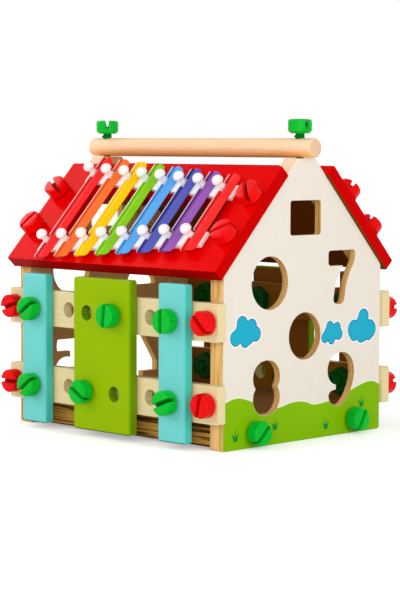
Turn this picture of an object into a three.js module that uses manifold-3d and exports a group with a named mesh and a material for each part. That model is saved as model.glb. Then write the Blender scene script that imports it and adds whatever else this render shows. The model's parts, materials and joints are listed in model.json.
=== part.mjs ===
// Wooden activity house for a small child. Two plywood gables with shape and number
// cut-outs stand on either end of a base board. Slotted rails, posts and a door board
// make the front and back walls, two boards make the roof, and a dowel is the handle.
// Big plastic bolts hold it all together and can be undone. A xylophone of eight pressed
// metal bars lies on the front roof over a sound opening.
// Millimetres. X runs along the house, the front faces -Y and Z is up. The origin is on
// the ground under the middle of the house.
import * as THREE from 'three';
import { mergeVertices } from 'three/addons/utils/BufferGeometryUtils.js';
import Module from 'manifold-3d';

const wasm = await Module();
wasm.setup();

// Gables
const houseLength = 211;
const houseDepth = 165;
const gablePly = 12;
const facePly = 5.5;
const pocketWall = 1.5;
const pocketPlay = 0.5;
const shoulderHeight = 121;
const gableHeight = 198.3;
const ridgeFlat = 18.8;
const cornerRadius = 2;

// Base board
const basePly = 18;
const baseLift = 2;
const baseSetBack = 1.3;

// Rails
const railPly = 7.5;
const railHeight = 26.3;
const railOverhang = 2.5;
const upperRailDrop = 32.8;
const holesPerRail = 8;

// Posts and door, on the outside of the rails
const boardPly = 8;
const boardBevel = 1;
const boardLift = 4.5;
const boardDrop = 7.5;
const postWidth = 26.2;
const postPlay = 0.6;
const doorWidth = 58.7;
const doorPlay = 1;

// Roof boards, measured up the slope from the gables' shoulders
const roofPly = 9;
const roofEaves = 6;
const roofStop = 16;
const roofOverhang = 2.5;

// Handle
const dowelDiameter = 14;
const dowelOverhang = 9;
const dowelRounding = 2;

// Bolts and nuts
const headDiameter = 17;
const headHeight = 10.2;
const headChamfer = 1.8;
const headCrown = 1.3;
const headDraft = 0.45;
const slotWidth = 3.2;
const slotDepth = 5.5;
const shankDiameter = 8;
const boltHole = 11;
const threadClearance = 0.3;
const nutFlats = 18;
const nutHeight = 7;
const nutTail = 2;
const nutRoom = 2;
const railBite = 18;
const roofBite = 12;
const baseBite = 18;
const handleBite = 14;
const handleNeck = 3.2;
const gableBoltInset = 30.5;
const gableBoltHeight = 10.5;
const lowRoofBolt = 24.4;
const highRoofBolt = 60.2;

// Cut-outs in the gables
const digitWidth = 29.2;
const digitHeight = 38.6;
const digitSpacing = 78.5;
const digitFoot = 21;
const sevenFoot = 94.3;
const windowWidth = 32;
const windowHeight = 24.4;
const windowDrop = 29.2;
const bigHole = 37;
const bigHoleOffset = 36.4;
const bigHoleHeight = 112.7;
const middleHole = 33.4;
const middleHoleHeight = 73.8;
const sixFoot = 57;
const triangleWidth = 34;
const triangleHeight = 30;

// Sound opening in the front roof board, under the bars
const openingInsetLeft = 9;
const openingInsetRight = 6.4;
const openingHeight = 34;
const openingDrop = 1.2;
const openingRadius = 5;

// Xylophone, on the front roof board. The margins run from the middles of the gables.
const barCount = 8;
const barGap = 4.2;
const leftMargin = 26.5;
const rightMargin = 15.1;
const barOverhang = 1.3;
const barStep = 4.12;
const barTop = 6;
const barSheet = 1.2;
const barBend = 2.2;
const barBead = 0.5;
const barBeadPlace = 3.8;
const barCrown = 0.5;
const barCorner = 4.5;
const notchPlay = 0.4;
const notchPlayAlong = 0.6;
const combTop = 3.5;
const combBelow = 8.7;
const combAbove = 3.2;
const combTail = 1.6;
const studInset = 0.7;
const neckFoot = 5.6;
const neckTop = 4.2;
const neckHeight = 4.6;
const studHead = 8.4;
const studHeadHeight = 6.4;
const studRimShare = 0.37;

// Places of the first and the last stud of each row, from the roof board's own edges
const lowStudFirst = 16;
const lowStudLast = 27.5;
const highStudFirst = 13;
const highStudLast = 23.9;

// How far each bolt's slot is turned from upright, in degrees, anticlockwise as seen from
// outside. Bolts out of sight have the usual turn.
const usualTurn = 35;
const slotTurns = {
  front_post_bolt_upper_left: -55, front_post_bolt_lower_left: -53,
  front_post_bolt_upper_right: 1, front_post_bolt_lower_right: -69,
  front_door_bolt_upper: -6, front_door_bolt_lower: 58,
  front_rail_bolt_upper_left: 105, front_rail_bolt_lower_left: 90,
  front_rail_bolt_upper_right: 45, front_rail_bolt_lower_right: -11,
  gable_bolt_right_front: -47, gable_bolt_right_back: -29,
  front_roof_bolt_upper_left: 58, front_roof_bolt_lower_left: -20,
  front_roof_bolt_upper_right: 35, front_roof_bolt_lower_right: -55,
  back_roof_bolt_upper_left: 52, back_roof_bolt_lower_left: 30,
  handle_bolt_left: 45, handle_bolt_right: 75,
};

// Rests and cuts
const seatGap = 0.3;
const overrun = 1;
const mergeDistance = 1e-4;

// Facets
const boltSides = 12;
const holeSides = 12;
const pilotSides = 8;
const nutSides = 6;
const cutOutSides = 28;
const dowelSides = 18;
const studSides = 8;
const studRings = 2;
const digitSteps = 6;
const openingSteps = 3;
const cornerSteps = 2;

// Worked out from the sizes above
const slopeRun = (houseDepth - ridgeFlat) / 2;
const slopeRise = gableHeight - shoulderHeight;
const slope = Math.atan2(slopeRise, slopeRun);
const slopeLength = Math.hypot(slopeRun, slopeRise);
const gableMiddle = (houseLength - gablePly) / 2;
const windowFoot = gableHeight - windowDrop - windowHeight;
const nutCorner = nutFlats / 2 / Math.cos(Math.PI / nutSides);
const gableBoltSpacing = houseDepth - 2 * gableBoltInset;
const lowerRailCentre = baseLift + basePly + nutCorner + nutRoom;
const upperRailCentre = shoulderHeight - upperRailDrop;
const holePitch = gableMiddle * 2 / (holesPerRail - 1);
const postPlace = gableMiddle - holePitch;
const doorHolePlace = holesPerRail % 2 ? holePitch : holePitch / 2;
const railLength = houseLength + 2 * railOverhang;
const boardHeight = shoulderHeight - boardDrop - boardLift;
const railSeat = seatGap;
const boardSeat = railSeat + railPly + seatGap;
const roofSeat = seatGap;
const roofTop = roofSeat + roofPly;
const roofReach = slopeLength - roofStop;
const dowelLength = houseLength + 2 * dowelOverhang;
const dowelHeight = gableHeight + seatGap + dowelDiameter / 2;
const barPitch = (2 * gableMiddle - leftMargin - rightMargin + barGap) / barCount;
const barWidth = barPitch - barGap;
const firstBarEdge = leftMargin - gableMiddle;
const lastBarEdge = gableMiddle - rightMargin;
const longestBar = roofReach + roofEaves + 2 * barOverhang;
const barMiddle = (roofReach - roofEaves) / 2;
const openingFoot = barMiddle - openingDrop - openingHeight / 2;
const up = new THREE.Vector3(0, 1, 0);

// Colours of the finishes
const cream = 0xeee6da;
const birch = 0xe4be78;
const maple = 0xf0dcaf;
const turquoise = 0x73d4cd;
const leafGreen = 0x9bb900;
const signalRed = 0xe80000;
const boltGreen = 0x00b92d;
const boltRed = 0xeb0505;
const peach = 0xffc896;
const white = 0xf6f2f0;
const barColours = [0xf01e28, 0xff6923, 0xffcd00, 0x8cd214, 0x55affa, 0x505abe, 0x9650b4, 0xfa322d];

const paint = (color) => new THREE.MeshStandardMaterial({
  color, roughness: 0.45, metalness: 0, flatShading: true,
});
const bareWood = (color) => new THREE.MeshStandardMaterial({
  color, roughness: 0.7, metalness: 0, flatShading: true,
});
const plastic = (color) => new THREE.MeshStandardMaterial({
  color, roughness: 0.35, metalness: 0, flatShading: true,
});
const enamel = (color) => new THREE.MeshStandardMaterial({
  color, roughness: 0.25, metalness: 0.35, flatShading: true,
});

// A closed three.js geometry as a solid that can be cut and joined.
function solidOf(geometry) {
  const bare = geometry.clone();
  bare.deleteAttribute('normal');
  bare.deleteAttribute('uv');
  const merged = mergeVertices(bare, mergeDistance);
  return new wasm.Manifold(new wasm.Mesh({
    numProp: 3,
    vertProperties: new Float32Array(merged.attributes.position.array),
    triVerts: new Uint32Array(merged.index.array),
  }));
}

// The solid as a geometry again.
function geometryOf(solid) {
  const result = solid.getMesh();
  const geometry = new THREE.BufferGeometry();
  geometry.setAttribute('position', new THREE.BufferAttribute(result.vertProperties, 3));
  geometry.setIndex(new THREE.BufferAttribute(result.triVerts, 1));
  geometry.computeVertexNormals();
  return geometry;
}

// A named piece. Its solid may be a geometry or the result of cuts.
function piece(name, solid, material) {
  const geometry = solid.isBufferGeometry ? solid : geometryOf(solid);
  const mesh = new THREE.Mesh(geometry, material);
  mesh.name = name;
  return mesh;
}

// An outline through corner points, each corner rounded off.
function roundedOutline(corners, radius) {
  const shape = new THREE.Shape();
  corners.forEach((point, index) => {
    const corner = new THREE.Vector2(...point);
    const before = new THREE.Vector2(...corners[(index + corners.length - 1) % corners.length]);
    const after = new THREE.Vector2(...corners[(index + 1) % corners.length]);
    const toBefore = before.sub(corner).normalize();
    const toAfter = after.sub(corner).normalize();
    const half = Math.acos(toBefore.dot(toAfter)) / 2;
    const back = radius / Math.tan(half);
    const start = corner.clone().addScaledVector(toBefore, back);
    const end = corner.clone().addScaledVector(toAfter, back);
    if (index === 0) shape.moveTo(start.x, start.y);
    else shape.lineTo(start.x, start.y);
    shape.quadraticCurveTo(corner.x, corner.y, end.x, end.y);
  });
  shape.closePath();
  return shape;
}

function rectangle(left, foot, right, top, radius) {
  return roundedOutline([[left, foot], [right, foot], [right, top], [left, top]], radius);
}

// A flat board over an outline in X and Y, from z = 0 up to its thickness.
function board(outline, thickness, bevel = 0, steps = cornerSteps) {
  const geometry = new THREE.ExtrudeGeometry(outline, {
    depth: thickness - 2 * bevel,
    curveSegments: steps,
    bevelEnabled: bevel > 0,
    bevelThickness: bevel,
    bevelSize: bevel,
    bevelOffset: -bevel,
    bevelSegments: 1,
  });
  geometry.translate(0, 0, bevel);
  return solidOf(geometry);
}

// A prism over an outline that reaches past both faces of a board.
function cutter(outline, thickness, steps = cornerSteps) {
  const geometry = new THREE.ExtrudeGeometry(outline, {
    depth: thickness + 2 * overrun,
    curveSegments: steps,
    bevelEnabled: false,
  });
  geometry.translate(0, 0, -overrun);
  return solidOf(geometry);
}

// A prism with a number of flat sides from a point along a direction. The diameter is
// the distance across its flats, so a drilled hole clears what goes through it.
function rod(at, direction, diameter, length, sides) {
  const radius = diameter / 2 / Math.cos(Math.PI / sides);
  const geometry = new THREE.CylinderGeometry(radius, radius, length, sides);
  geometry.translate(0, length / 2, 0);
  geometry.applyQuaternion(new THREE.Quaternion().setFromUnitVectors(up, direction));
  geometry.translate(at.x, at.y, at.z);
  return solidOf(geometry);
}

// The same as a drilled hole: it starts outside the surface by the overrun.
function drill(at, direction, diameter, depth, sides = holeSides) {
  const start = at.clone().addScaledVector(direction, -overrun);
  return rod(start, direction, diameter, depth + overrun, sides);
}

// A pilot hole for a bolt's shank.
function pilot(at, direction, depth) {
  return drill(at, direction, shankDiameter + 2 * threadClearance, depth + overrun, pilotSides);
}

function roundCutter(x, y, diameter) {
  const shape = new THREE.Shape();
  shape.absarc(x, y, diameter / 2, 0, 2 * Math.PI, false);
  return cutter(shape, gablePly, cutOutSides);
}

// Outlines of the number cut-outs, as shares of their width and height: a start, then
// straight lines (two shares) and curves (six shares, with two pulls and an end).
const nineShares = [
  [0.51, 1], [0.86, 1, 1, 0.80, 1, 0.60], [0.98, 0.34, 0.76, 0.10, 0.50, 0],
  [0.26, 0, 0.06, 0.03, 0.04, 0.20], [0.05, 0.28, 0.16, 0.31, 0.31, 0.31], [0.32, 0.40],
  [0.12, 0.42, 0, 0.54, 0, 0.68], [0, 0.86, 0.20, 1, 0.51, 1],
];
const digitShares = {
  4: [
    [0.52, 1], [0.82, 1], [0.82, 0.42], [1, 0.42], [1, 0.20], [0.82, 0.20], [0.82, 0],
    [0.52, 0], [0.52, 0.20], [0, 0.20], [0, 0.40], [0.52, 1],
  ],
  5: [
    [0.14, 1], [0.88, 1], [0.93, 1, 0.95, 0.76, 0.88, 0.76], [0.46, 0.76], [0.46, 0.64],
    [0.78, 0.70, 1, 0.54, 1, 0.33], [1, 0.12, 0.80, 0, 0.46, 0], [0.22, 0, 0.02, 0.02, 0, 0.14],
    [0.01, 0.20, 0.02, 0.25, 0.05, 0.28], [0.26, 0.22, 0.46, 0.22, 0.50, 0.30],
    [0.52, 0.40, 0.30, 0.46, 0.08, 0.40], [0.14, 1],
  ],
  6: nineShares.map((shares) => shares.map((share) => 1 - share)),
  7: [
    [0.08, 1], [0.92, 1], [0.97, 1, 1, 0.97, 1, 0.92], [1, 0.66, 0.68, 0.64, 0.61, 0.12],
    [0.60, 0.04, 0.54, 0, 0.42, 0], [0.26, 0, 0.19, 0.03, 0.20, 0.12],
    [0.24, 0.38, 0.38, 0.58, 0.55, 0.714], [0.08, 0.714], [0.03, 0.714, 0, 0.74, 0, 0.79],
    [0, 0.92], [0, 0.97, 0.03, 1, 0.08, 1],
  ],
  8: [
    [0.12, 0.5], [-0.06, 0.64, 0.01, 1, 0.5, 1], [0.99, 1, 1.06, 0.64, 0.88, 0.5],
    [1.06, 0.36, 0.99, 0, 0.5, 0], [0.01, 0, -0.06, 0.36, 0.12, 0.5],
  ],
  9: nineShares,
};

function digitCutter(number, middle, foot) {
  const shape = new THREE.Shape();
  digitShares[number].forEach((shares, index) => {
    const spots = shares.map((share, place) => (
      place % 2 ? foot + share * digitHeight : middle + (share - 0.5) * digitWidth));
    if (index === 0) shape.moveTo(...spots);
    else if (spots.length === 2) shape.lineTo(...spots);
    else shape.bezierCurveTo(...spots);
  });
  return cutter(shape, gablePly, digitSteps);
}

function triangle(middle, height) {
  const foot = height - triangleHeight / 2;
  const corners = [
    [middle - triangleWidth / 2, foot], [middle + triangleWidth / 2, foot],
    [middle, foot + triangleHeight],
  ];
  return roundedOutline(corners, cornerRadius);
}

// One side of the house as a frame of its own: X along the side to the right as seen
// from outside, Y up, Z outwards, on the plane at a distance from the middle.
function side(turn, distance) {
  const turned = new THREE.Group();
  turned.rotation.z = turn;
  const upright = new THREE.Group();
  upright.rotation.x = Math.PI / 2;
  upright.position.y = -distance;
  turned.add(upright);
  return { turned, upright };
}

// A slotted bolt on its own Z axis, with the seat of its head at z = 0.
function bolt(name, colour, shankLength) {
  const head = headDiameter / 2;
  const shank = shankDiameter / 2;
  const profile = [
    [0, -shankLength], [shank, -shankLength], [shank, 0], [head - headChamfer, 0],
    [head, headChamfer], [head - headDraft, headHeight - headCrown],
    [head - headCrown, headHeight], [0, headHeight],
  ];
  const turned = new THREE.LatheGeometry(
    profile.map(([radius, height]) => new THREE.Vector2(radius, height)), boltSides);
  turned.rotateX(Math.PI / 2);
  const slot = new THREE.BoxGeometry(slotWidth, headDiameter + 2 * overrun, slotDepth + overrun);
  slot.translate(0, 0, headHeight + (overrun - slotDepth) / 2);
  const mesh = piece(name, solidOf(turned).subtract(solidOf(slot)), plastic(colour));
  mesh.rotation.z = THREE.MathUtils.degToRad(slotTurns[name] ?? usualTurn);
  return mesh;
}

// The window near the top of each gable.
function windowCutter() {
  const half = windowWidth / 2;
  const top = windowFoot + windowHeight;
  return cutter(rectangle(-half, windowFoot, half, top, cornerRadius), gablePly);
}

// The right gable's cut-outs, as seen from outside.
function rightCutters() {
  return [
    windowCutter(),
    roundCutter(-bigHoleOffset, bigHoleHeight, bigHole),
    roundCutter(0, middleHoleHeight, middleHole),
    digitCutter(7, digitSpacing / 2, sevenFoot),
    digitCutter(8, -digitSpacing / 2, digitFoot),
    digitCutter(9, digitSpacing / 2, digitFoot),
  ];
}

// The left gable's cut-outs, as seen from outside.
function leftCutters() {
  return [
    windowCutter(),
    roundCutter(bigHoleOffset, bigHoleHeight, bigHole),
    cutter(triangle(-bigHoleOffset, bigHoleHeight), gablePly),
    digitCutter(6, 0, sixFoot),
    digitCutter(4, -digitSpacing / 2, digitFoot),
    digitCutter(5, digitSpacing / 2, digitFoot),
  ];
}

// The pocket in a gable's inner face. It leaves a thick frame, which takes the bolts, round
// a thinner panel with the cut-outs.
function pocket() {
  const across = Math.sin(slope);
  const along = Math.cos(slope);
  const reach = houseDepth / 2 * across + shoulderHeight * along - roofBite - pocketWall;
  const edge = houseDepth / 2 - railBite - pocketWall;
  const foot = baseLift + basePly + pocketPlay;
  const shoulder = (reach - edge * across) / along;
  const top = gableHeight - handleBite - pocketWall;
  const flat = (reach - top * along) / across;
  const outline = roundedOutline([
    [-edge, foot], [edge, foot], [edge, shoulder], [flat, top], [-flat, top],
    [-edge, shoulder],
  ], cornerRadius);
  return board(outline, overrun + gablePly - facePly).translate([0, 0, -overrun]);
}

// Where a bolt meets the slope of the gable, and the way it goes in.
function slopeHole(sign, reach) {
  const at = new THREE.Vector3(
    sign * (houseDepth / 2 - reach * Math.cos(slope)),
    shoulderHeight + reach * Math.sin(slope), gablePly / 2);
  const inward = new THREE.Vector3(-sign * Math.sin(slope), -Math.cos(slope), 0);
  return { at, inward };
}

function gable(name, cutters) {
  const half = houseDepth / 2;
  const flat = ridgeFlat / 2;
  const outline = roundedOutline([
    [-half, 0], [half, 0], [half, shoulderHeight], [flat, gableHeight],
    [-flat, gableHeight], [-half, shoulderHeight],
  ], cornerRadius);
  let solid = board(outline, gablePly).subtract(pocket());
  for (const shape of cutters) solid = solid.subtract(shape);
  for (const sign of [-1, 1]) {
    const inward = new THREE.Vector3(-sign, 0, 0);
    for (const height of [lowerRailCentre, upperRailCentre]) {
      const edge = new THREE.Vector3(sign * half, height, gablePly / 2);
      solid = solid.subtract(pilot(edge, inward, railBite));
    }
    for (const reach of [lowRoofBolt, highRoofBolt]) {
      const hole = slopeHole(sign, reach);
      solid = solid.subtract(pilot(hole.at, hole.inward, roofBite));
    }
    const through = new THREE.Vector3(sign * gableBoltSpacing / 2, gableBoltHeight, 0);
    solid = solid.subtract(pilot(through, new THREE.Vector3(0, 0, 1), gablePly));
  }
  const top = new THREE.Vector3(0, gableHeight, gablePly / 2);
  solid = solid.subtract(pilot(top, new THREE.Vector3(0, -1, 0), handleBite));
  return piece(name, solid, paint(cream));
}

// A gable with the two bolts that go through it into the base board. The places give the
// bolts' names and the side of the middle they are on.
function gableEnd(label, turn, places, cutters) {
  const { turned, upright } = side(turn, houseLength / 2 - gablePly);
  upright.add(gable(`gable_${label}`, cutters));
  for (const [place, sign] of places) {
    const mesh = bolt(
      `gable_bolt_${label}_${place}`, boltGreen, seatGap + gablePly + baseBite);
    mesh.position.set(sign * gableBoltSpacing / 2, gableBoltHeight, gablePly + seatGap);
    upright.add(mesh);
  }
  return turned;
}

function baseBoard() {
  const length = houseLength - 2 * gablePly - 2 * seatGap;
  const depth = houseDepth - 2 * baseSetBack;
  const outline = rectangle(-length / 2, -depth / 2, length / 2, depth / 2, cornerRadius / 2);
  let solid = board(outline, basePly);
  for (const end of [-1, 1]) {
    const inward = new THREE.Vector3(-end, 0, 0);
    for (const sign of [-1, 1]) {
      const at = new THREE.Vector3(
        end * length / 2, sign * gableBoltSpacing / 2, gableBoltHeight - baseLift);
      solid = solid.subtract(pilot(at, inward, baseBite));
    }
  }
  const mesh = piece('base_board', solid, bareWood(birch));
  mesh.position.z = baseLift;
  return mesh;
}

// A rail with its row of holes. The nuts of the bolts that pass through it are held on
// its inner face and count as part of it.
function rail(name, centre, nutPlaces) {
  const outline = rectangle(
    -railLength / 2, -railHeight / 2, railLength / 2, railHeight / 2, cornerRadius / 2);
  const outward = new THREE.Vector3(0, 0, 1);
  let solid = board(outline, railPly);
  for (let index = 0; index < holesPerRail; index += 1) {
    const x = (index - (holesPerRail - 1) / 2) * holePitch;
    solid = solid.subtract(drill(new THREE.Vector3(x, 0, 0), outward, boltHole, railPly + overrun));
  }
  for (const x of nutPlaces) {
    const foot = new THREE.Vector3(x, 0, -nutHeight);
    const nut = rod(foot, outward, nutFlats, nutHeight, nutSides);
    solid = solid.add(nut.subtract(pilot(foot, outward, nutHeight)));
  }
  const mesh = piece(name, solid, bareWood(maple));
  mesh.position.set(0, centre, railSeat);
  return mesh;
}

// A painted board on the outside of the rails, with holes that line up with theirs.
function wallBoard(name, width, place, holes, material) {
  const outline = rectangle(-width / 2, 0, width / 2, boardHeight, cornerRadius);
  const outward = new THREE.Vector3(0, 0, 1);
  let solid = board(outline, boardPly, boardBevel);
  for (const height of [lowerRailCentre, upperRailCentre]) {
    for (const x of holes) {
      const at = new THREE.Vector3(x, height - boardLift, 0);
      solid = solid.subtract(drill(at, outward, boltHole, boardPly + overrun));
    }
  }
  const mesh = piece(name, solid, material);
  mesh.position.set(place, boardLift, boardSeat);
  return mesh;
}

// The front or back wall: two rails bolted to the gables' edges, a post at each end and
// a door board between them, held by bolts with nuts inside.
function wall(label, turn) {
  const { turned, upright } = side(turn, houseDepth / 2);
  const levels = [
    { level: 'lower', height: lowerRailCentre, doorBolt: -doorHolePlace },
    { level: 'upper', height: upperRailCentre, doorBolt: doorHolePlace },
  ];
  const throughShank = boardSeat + boardPly - railSeat + nutHeight + nutTail + seatGap;
  for (const { level, height, doorBolt } of levels) {
    upright.add(rail(`${label}_rail_${level}`, height, [-postPlace, doorBolt, postPlace]));
    for (const [end, sign] of [['left', -1], ['right', 1]]) {
      const ends = bolt(
        `${label}_rail_bolt_${level}_${end}`, boltRed, railSeat + railPly + seatGap + railBite);
      ends.position.set(sign * gableMiddle, height, railSeat + railPly + seatGap);
      upright.add(ends);
      const post = bolt(`${label}_post_bolt_${level}_${end}`, boltGreen, throughShank);
      post.position.set(sign * postPlace, height, boardSeat + boardPly + seatGap);
      upright.add(post);
    }
    const door = bolt(`${label}_door_bolt_${level}`, boltGreen, throughShank);
    door.position.set(doorBolt, height, boardSeat + boardPly + seatGap);
    upright.add(door);
  }
  for (const [end, sign] of [['left', -1], ['right', 1]]) {
    upright.add(wallBoard(
      `${label}_post_${end}`, postWidth, sign * (postPlace + postPlay), [-sign * postPlay],
      paint(turquoise)));
  }
  upright.add(wallBoard(
    `${label}_door`, doorWidth, doorPlay, [-doorHolePlace - doorPlay, doorHolePlace - doorPlay],
    paint(leafGreen)));
  return turned;
}

// A frame on one roof slope: X along the house, Y up the slope from the gables'
// shoulders and Z out of the slope.
function slopeFrame(turn) {
  const turned = new THREE.Group();
  turned.rotation.z = turn;
  const sloped = new THREE.Group();
  sloped.rotation.x = slope;
  sloped.position.set(0, -houseDepth / 2, shoulderHeight);
  turned.add(sloped);
  return { turned, sloped };
}

function roofBoard(name, hasOpening) {
  const half = houseLength / 2 + roofOverhang;
  const outline = rectangle(-half, -roofEaves, half, roofReach, cornerRadius / 2);
  const outward = new THREE.Vector3(0, 0, 1);
  let solid = board(outline, roofPly);
  for (const sign of [-1, 1]) {
    for (const reach of [lowRoofBolt, highRoofBolt]) {
      const at = new THREE.Vector3(sign * gableMiddle, reach, 0);
      solid = solid.subtract(drill(at, outward, boltHole, roofPly + overrun));
    }
  }
  if (hasOpening) {
    const opening = rectangle(
      firstBarEdge + openingInsetLeft, openingFoot,
      lastBarEdge - openingInsetRight, openingFoot + openingHeight, openingRadius);
    solid = solid.subtract(cutter(opening, roofPly, openingSteps));
  }
  const mesh = piece(name, solid, paint(signalRed));
  mesh.position.z = roofSeat;
  return mesh;
}

function roofBolts(label) {
  const meshes = [];
  for (const [level, reach] of [['lower', lowRoofBolt], ['upper', highRoofBolt]]) {
    for (const [end, sign] of [['left', -1], ['right', 1]]) {
      const mesh = bolt(
        `${label}_roof_bolt_${level}_${end}`, boltRed, roofTop + seatGap + roofBite);
      mesh.position.set(sign * gableMiddle, reach, roofTop + seatGap);
      meshes.push(mesh);
    }
  }
  return meshes;
}

// The pressed section of a bar: a sheet with a bend at each side, a bead beside the left
// bend and a slight crown. Its height axis starts at the bar's top.
function barSection() {
  const half = barWidth / 2;
  const skirt = barTop - combTop - seatGap;
  const bend = Math.min(barBend, skirt);
  const bead = -half + barBeadPlace;
  const shape = new THREE.Shape();
  shape.moveTo(-half, -skirt);
  shape.absarc(-half + bend, -bend, bend, Math.PI, Math.PI / 2, true);
  shape.lineTo(bead, -barBead);
  shape.quadraticCurveTo(half / 2, barCrown, half - bend, 0);
  shape.absarc(half - bend, -bend, bend, Math.PI / 2, 0, true);
  shape.lineTo(half, -skirt);
  shape.lineTo(half - barSheet, -skirt);
  shape.lineTo(half - bend, -barSheet);
  shape.lineTo(bead, -barBead - barSheet);
  shape.lineTo(-half + bend, -barSheet);
  shape.lineTo(-half + barSheet, -skirt);
  shape.closePath();
  return shape;
}

// How far up the slope a row's stud stands for each bar.
function studReach(row, index) {
  const along = index / (barCount - 1);
  return row === 'low'
    ? lowStudFirst + (lowStudLast - lowStudFirst) * along - roofEaves
    : roofReach - highStudFirst - (highStudLast - highStudFirst) * along;
}

// A xylophone bar: its pressed section runs along the slope, the plan rounds its corners
// and a notch near each end of its left side takes a stud.
function bar(index) {
  const length = longestBar - barStep * index;
  const left = firstBarEdge + barPitch * index;
  const pressed = new THREE.ExtrudeGeometry(barSection(), {
    depth: length, curveSegments: cornerSteps, bevelEnabled: false,
  });
  pressed.rotateX(Math.PI / 2);
  pressed.translate(left + barWidth / 2, barMiddle + length / 2, barTop);
  const foot = barMiddle - length / 2;
  const plan = board(
    rectangle(left - overrun, foot, left + barWidth, foot + length, barCorner), 2 * barTop);
  let solid = solidOf(pressed).intersect(plan);
  const notchDepth = studInset + neckFoot / 2 + notchPlay;
  for (const row of ['low', 'high']) {
    const notch = new THREE.BoxGeometry(2 * notchDepth, neckFoot + 2 * notchPlayAlong, 2 * barTop);
    notch.translate(left, studReach(row, index), barTop);
    solid = solid.subtract(solidOf(notch));
  }
  const colour = barColours[index % barColours.length];
  const mesh = piece(`xylophone_bar_${index + 1}`, solid, enamel(colour));
  mesh.position.z = roofTop;
  return mesh;
}

// A stud that holds a bar down: a tapering neck and a mushroom head.
function stud(x, y) {
  const points = [[0, 0], [neckFoot / 2, 0], [neckTop / 2, neckHeight]];
  for (let ring = 0; ring <= studRings; ring += 1) {
    const angle = (ring / studRings) * Math.PI / 2;
    const radius = (studHead / 2) * Math.cos(angle);
    const share = studRimShare + (1 - studRimShare) * Math.sin(angle);
    const height = neckHeight + studHeadHeight * share;
    points.push([ring === studRings ? 0 : radius, height]);
  }
  const turned = new THREE.LatheGeometry(
    points.map(([radius, height]) => new THREE.Vector2(radius, height)), studSides);
  turned.rotateX(Math.PI / 2);
  turned.translate(x, y, combTop - seatGap);
  return solidOf(turned);
}

// A plastic comb under one end of the bars, with a stud for each bar.
function comb(name, row) {
  const first = firstBarEdge + studInset;
  const rise = (studReach(row, barCount - 1) - studReach(row, 0)) / (barPitch * (barCount - 1));
  const left = first - neckFoot / 2;
  const right = lastBarEdge + combTail;
  const at = (x) => studReach(row, 0) + rise * (x - first);
  const outline = roundedOutline([
    [left, at(left) - combBelow], [right, at(right) - combBelow],
    [right, at(right) + combAbove], [left, at(left) + combAbove],
  ], cornerRadius / 2);
  let solid = board(outline, combTop - seatGap);
  for (let index = 0; index < barCount; index += 1) {
    solid = solid.add(stud(first + barPitch * index, studReach(row, index)));
  }
  const mesh = piece(name, solid, plastic(white));
  mesh.position.z = roofTop + seatGap;
  return mesh;
}

function roofSide(label, turn, hasXylophone) {
  const { turned, sloped } = slopeFrame(turn);
  sloped.add(roofBoard(`${label}_roof`, hasXylophone));
  roofBolts(label).forEach((mesh) => sloped.add(mesh));
  if (hasXylophone) {
    for (let index = 0; index < barCount; index += 1) sloped.add(bar(index));
    sloped.add(comb('xylophone_comb_lower', 'low'));
    sloped.add(comb('xylophone_comb_upper', 'high'));
  }
  return turned;
}

// The dowel handle over the gables' tops, with a long bolt down through each end.
function handle() {
  const group = new THREE.Group();
  const radius = dowelDiameter / 2;
  const end = dowelLength / 2;
  const points = [[0, -end], [radius - dowelRounding, -end]];
  for (let step = 1; step <= cornerSteps; step += 1) {
    const angle = (step / cornerSteps) * Math.PI / 2;
    points.push([
      radius - dowelRounding + dowelRounding * Math.sin(angle),
      -end + dowelRounding * (1 - Math.cos(angle)),
    ]);
  }
  const mirrored = points.map(([across, along]) => [across, -along]).reverse();
  const turned = new THREE.LatheGeometry(
    [...points, ...mirrored].map(([across, along]) => new THREE.Vector2(across, along)), dowelSides);
  let solid = solidOf(turned);
  for (const sign of [-1, 1]) {
    const at = new THREE.Vector3(0, sign * gableMiddle, -radius);
    solid = solid.subtract(pilot(at, new THREE.Vector3(0, 0, 1), dowelDiameter));
  }
  const dowel = piece('handle_dowel', solid, bareWood(peach));
  dowel.rotation.z = -Math.PI / 2;
  dowel.position.z = dowelHeight;
  group.add(dowel);
  for (const [label, sign] of [['left', -1], ['right', 1]]) {
    const shank = handleNeck + dowelDiameter + seatGap + handleBite;
    const mesh = bolt(`handle_bolt_${label}`, boltGreen, shank);
    mesh.position.set(sign * gableMiddle, 0, dowelHeight + radius + handleNeck);
    group.add(mesh);
  }
  return group;
}

const activityHouse = new THREE.Group();
activityHouse.add(baseBoard());
activityHouse.add(gableEnd('right', Math.PI / 2, [['front', -1], ['back', 1]], rightCutters()));
activityHouse.add(gableEnd('left', -Math.PI / 2, [['back', -1], ['front', 1]], leftCutters()));
activityHouse.add(wall('front', 0));
activityHouse.add(wall('back', Math.PI));
activityHouse.add(roofSide('front', 0, true));
activityHouse.add(roofSide('back', Math.PI, false));
activityHouse.add(handle());

export default activityHouse;
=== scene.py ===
"""Wooden activity house: finishes, prints, moulded bolts and combs, pressed bars, handle.

Metres, +Z up. X runs along the house, the front faces -Y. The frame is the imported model.
"""

import json
import math

import bpy
import numpy as np
from mathutils import Matrix, Vector

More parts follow.
